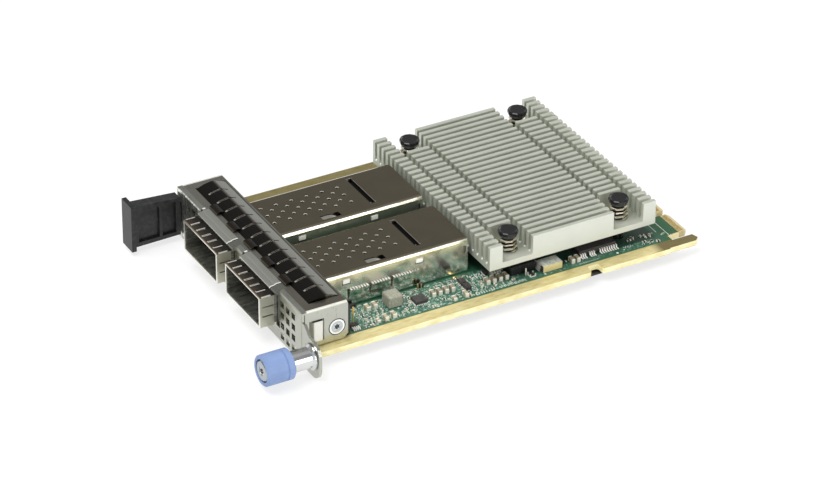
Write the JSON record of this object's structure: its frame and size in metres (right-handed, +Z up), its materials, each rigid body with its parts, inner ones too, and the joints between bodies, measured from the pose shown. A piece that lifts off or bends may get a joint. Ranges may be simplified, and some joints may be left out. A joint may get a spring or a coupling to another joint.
{
  "type": "mezzanine network card",
  "caption": "Mezzanine network card with a keyed edge tongue, shielded module ports, a finned heatsink and a captive thumbscrew faceplate.",
  "frame": {"origin": "middle of the card's box in plan, at its lowest point, the faceplate ear's lower edge", "axes": "+Z up from the board's component side, +Y from the faceplate towards the edge contacts, +X towards the thumbscrew"},
  "size_m": [0.0822, 0.1316, 0.0165],
  "materials": {
    "laminate": "green solder mask over glass-fibre laminate",
    "bracket_steel": "folded stainless sheet, fine satin",
    "cage_steel": "bright tinned sheet steel",
    "spring_steel": "bright spring sheet and wire",
    "screw_steel": "plated machined steel",
    "heatsink_aluminium": "plain extruded aluminium, satin",
    "black_plastic": "moulded, fine matt",
    "blue_plastic": "moulded, satin",
    "insulator": "black film",
    "chip_package": "moulded package",
    "ferrite": "pressed ferrite",
    "capacitor_ceramic": "fired ceramic",
    "gap_pad": "soft filled silicone",
    "can_steel": "drawn metal lid"
  },
  "bodies": {
    "root": {"board_connector": "black_plastic", "cage_base_left": "cage_steel", "cage_base_right": "cage_steel", "cage_cover_left": "cage_steel", "cage_cover_right": "cage_steel", "capacitor_1": "capacitor_ceramic", "capacitor_10": "capacitor_ceramic", "capacitor_2": "capacitor_ceramic", "capacitor_3": "capacitor_ceramic", "capacitor_4": "capacitor_ceramic", "capacitor_5": "capacitor_ceramic", "capacitor_6": "capacitor_ceramic", "capacitor_7": "capacitor_ceramic", "capacitor_8": "capacitor_ceramic", "capacitor_9": "capacitor_ceramic", "chip_carrier": "chip_package", "chip_lid": "can_steel", "circuit_board": "laminate", "contact_finger_strip": "spring_steel", "controller_chip": "chip_package", "faceplate": "bracket_steel", "film_rivet_1": "black_plastic", "film_rivet_2": "black_plastic", "film_rivet_3": "black_plastic", "heatsink": "heatsink_aluminium", "heatsink_pin_front_left": "black_plastic", "heatsink_pin_front_right": "black_plastic", "heatsink_pin_rear_left": "black_plastic", "heatsink_pin_rear_right": "black_plastic", "heatsink_spring_front_left": "spring_steel", "heatsink_spring_front_right": "spring_steel", "heatsink_spring_rear_left": "spring_steel", "heatsink_spring_rear_right": "spring_steel", "insulator_film": "insulator", "memory_chip": "chip_package", "module_socket_left": "black_plastic", "module_socket_right": "black_plastic", "mounting_block_left": "black_plastic", "mounting_block_right": "black_plastic", "oscillator": "can_steel", "port_collar_left": "spring_steel", "port_collar_right": "spring_steel", "power_inductor": "ferrite", "pull_tab": "black_plastic", "regulator_front": "chip_package", "regulator_rear": "chip_package", "side_contact_leaf": "spring_steel", "side_screw_left": "screw_steel", "side_screw_right": "screw_steel", "thermal_pad": "gap_pad", "thumbscrew_sleeve": "screw_steel"},
    "thumbscrew_slider": {"thumbscrew_ring": "spring_steel", "thumbscrew_spring": "spring_steel"},
    "thumbscrew_turner": {"thumbscrew_knob": "blue_plastic", "thumbscrew_screw": "screw_steel"}
  },
  "joints": [
    {"name": "thumbscrew_travel", "type": "slide", "parent": "root", "child": "thumbscrew_slider", "axis": [0, 1, 0], "range_m": [0, 0.0035], "stiffness_N_per_m": 400, "springref_m": -0.003, "deforming": ["thumbscrew_spring"]},
    {"name": "thumbscrew_spin", "type": "hinge", "parent": "thumbscrew_slider", "child": "thumbscrew_turner", "pos_m": [0.03695, -0.0607, 0.0056], "axis": [0, 1, 0], "continuous": true}
  ]
}
